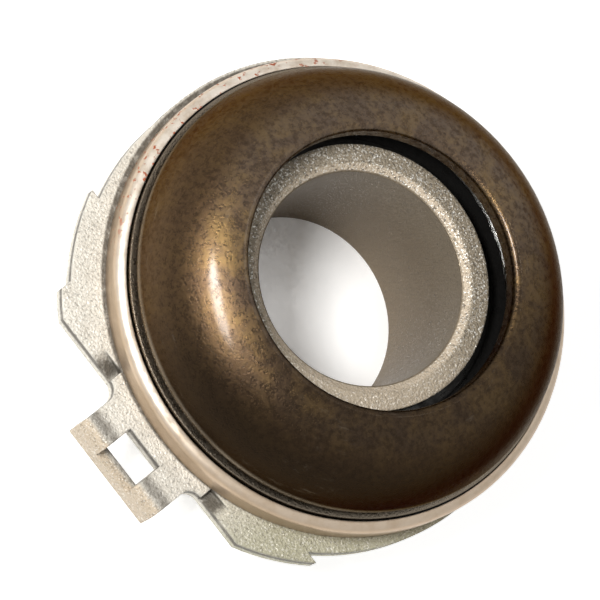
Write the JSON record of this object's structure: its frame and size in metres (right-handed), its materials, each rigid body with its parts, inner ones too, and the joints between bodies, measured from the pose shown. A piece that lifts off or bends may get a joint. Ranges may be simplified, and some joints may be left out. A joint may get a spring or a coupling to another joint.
{
  "type": "clutch release bearing",
  "caption": "Clutch release bearing: domed rotating contact ring on a self-centring unit with a pressed cover, on a cast carrier with guide sleeve and clip lug.",
  "frame": {"origin": "on the axis of the guide bore, at the rear face of the sleeve's tail", "axes": "+Z along the bore towards the contact face, clip lug towards -Y, fork pads along X"},
  "size_m": [0.082, 0.0905, 0.0394],
  "materials": {
    "cast_carrier": "blasted casting",
    "contact_oxide": "tempered bronze oxide",
    "cover_steel": "satin",
    "race_steel": "ground",
    "spring_steel": "oiled",
    "cage_resin": "moulded",
    "seal_rubber": "moulded"
  },
  "bodies": {
    "carrier": {"carrier": "cast_carrier", "retaining_washer": "spring_steel", "snap_ring": "spring_steel"},
    "spring": {"wave_spring": "spring_steel"},
    "unit": {"race_ring": "race_steel", "cover": "cover_steel", "rear_seal": "seal_rubber"},
    "contact": {"contact_ring": "contact_oxide", "front_seal": "seal_rubber"},
    "cage": {"cage": "cage_resin", "ball_01": "race_steel", "ball_02": "race_steel", "ball_03": "race_steel", "ball_04": "race_steel", "ball_05": "race_steel", "ball_06": "race_steel", "ball_07": "race_steel", "ball_08": "race_steel", "ball_09": "race_steel", "ball_10": "race_steel", "ball_11": "race_steel", "ball_12": "race_steel", "ball_13": "race_steel", "ball_14": "race_steel", "ball_15": "race_steel", "ball_16": "race_steel", "ball_17": "race_steel", "ball_18": "race_steel", "ball_19": "race_steel", "ball_20": "race_steel", "ball_21": "race_steel", "ball_22": "race_steel", "ball_23": "race_steel", "ball_24": "race_steel"}
  },
  "joints": [
    {"name": "float_y", "type": "slide", "parent": "carrier", "child": "spring", "axis": [0, 1, 0], "range_m": [-0.0015, 0.0015]},
    {"name": "float_x", "type": "slide", "parent": "spring", "child": "unit", "axis": [1, 0, 0], "range_m": [-0.0021, 0.0009]},
    {"name": "ring_spin", "type": "hinge", "parent": "unit", "child": "contact", "pos_m": [0.0006, 0, 0.024], "axis": [0, 0, 1], "continuous": true},
    {"name": "cage_spin", "type": "hinge", "parent": "unit", "child": "cage", "pos_m": [0.0006, 0, 0.024], "axis": [0, 0, 1], "continuous": true}
  ],
  "couplings": [
    {"joint": "cage_spin", "follows": "ring_spin", "ratio": 0.539}
  ]
}
